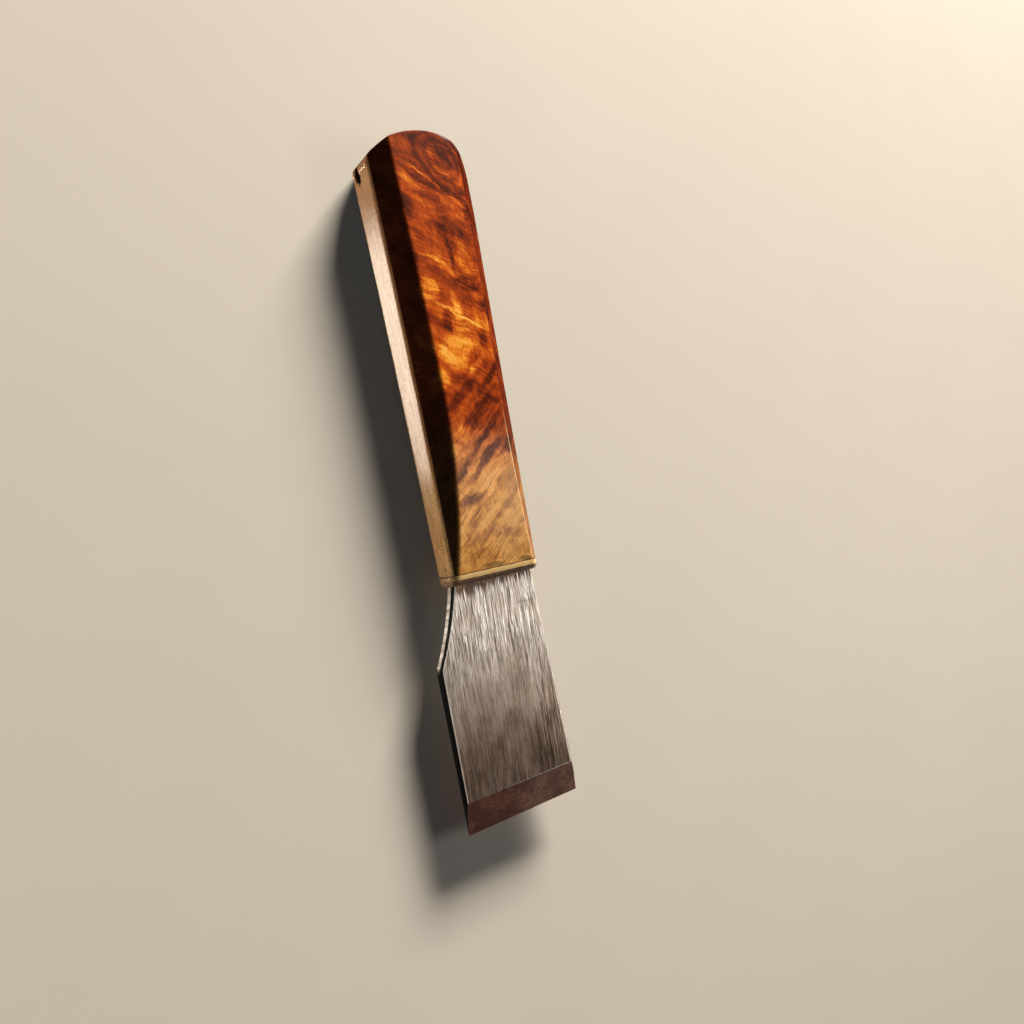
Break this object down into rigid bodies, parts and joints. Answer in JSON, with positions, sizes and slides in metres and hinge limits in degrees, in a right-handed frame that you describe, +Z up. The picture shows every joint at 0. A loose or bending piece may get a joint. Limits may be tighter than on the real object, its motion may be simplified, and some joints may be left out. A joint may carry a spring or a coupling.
{
  "type": "skiving knife",
  "caption": "Hand skiving knife for leather: wide single-bevel steel blade with a hidden tang, thin brass end plate and a faceted figured-wood handle with a crowned butt.",
  "frame": {"origin": "centre of the knife's footprint, on the surface that it lies on", "axes": "+X along the knife from the butt to the cutting edge, +Z up out of the bevel side, +Y towards the straight side of the blade; the shoulder is on the -Y side"},
  "size_m": [0.193, 0.0403, 0.02],
  "materials": {
    "steel": "ground along its length to a satin, finer and duller on the bevel",
    "figured_wood": "oiled and polished burl with dark bands and golden curl",
    "brass": "satin",
    "epoxy": "cured amber resin, hidden inside the handle"
  },
  "bodies": {
    "root": {"blade": "steel", "handle": "figured_wood", "end_plate": "brass", "epoxy_bed": "epoxy"}
  },
  "joints": []
}
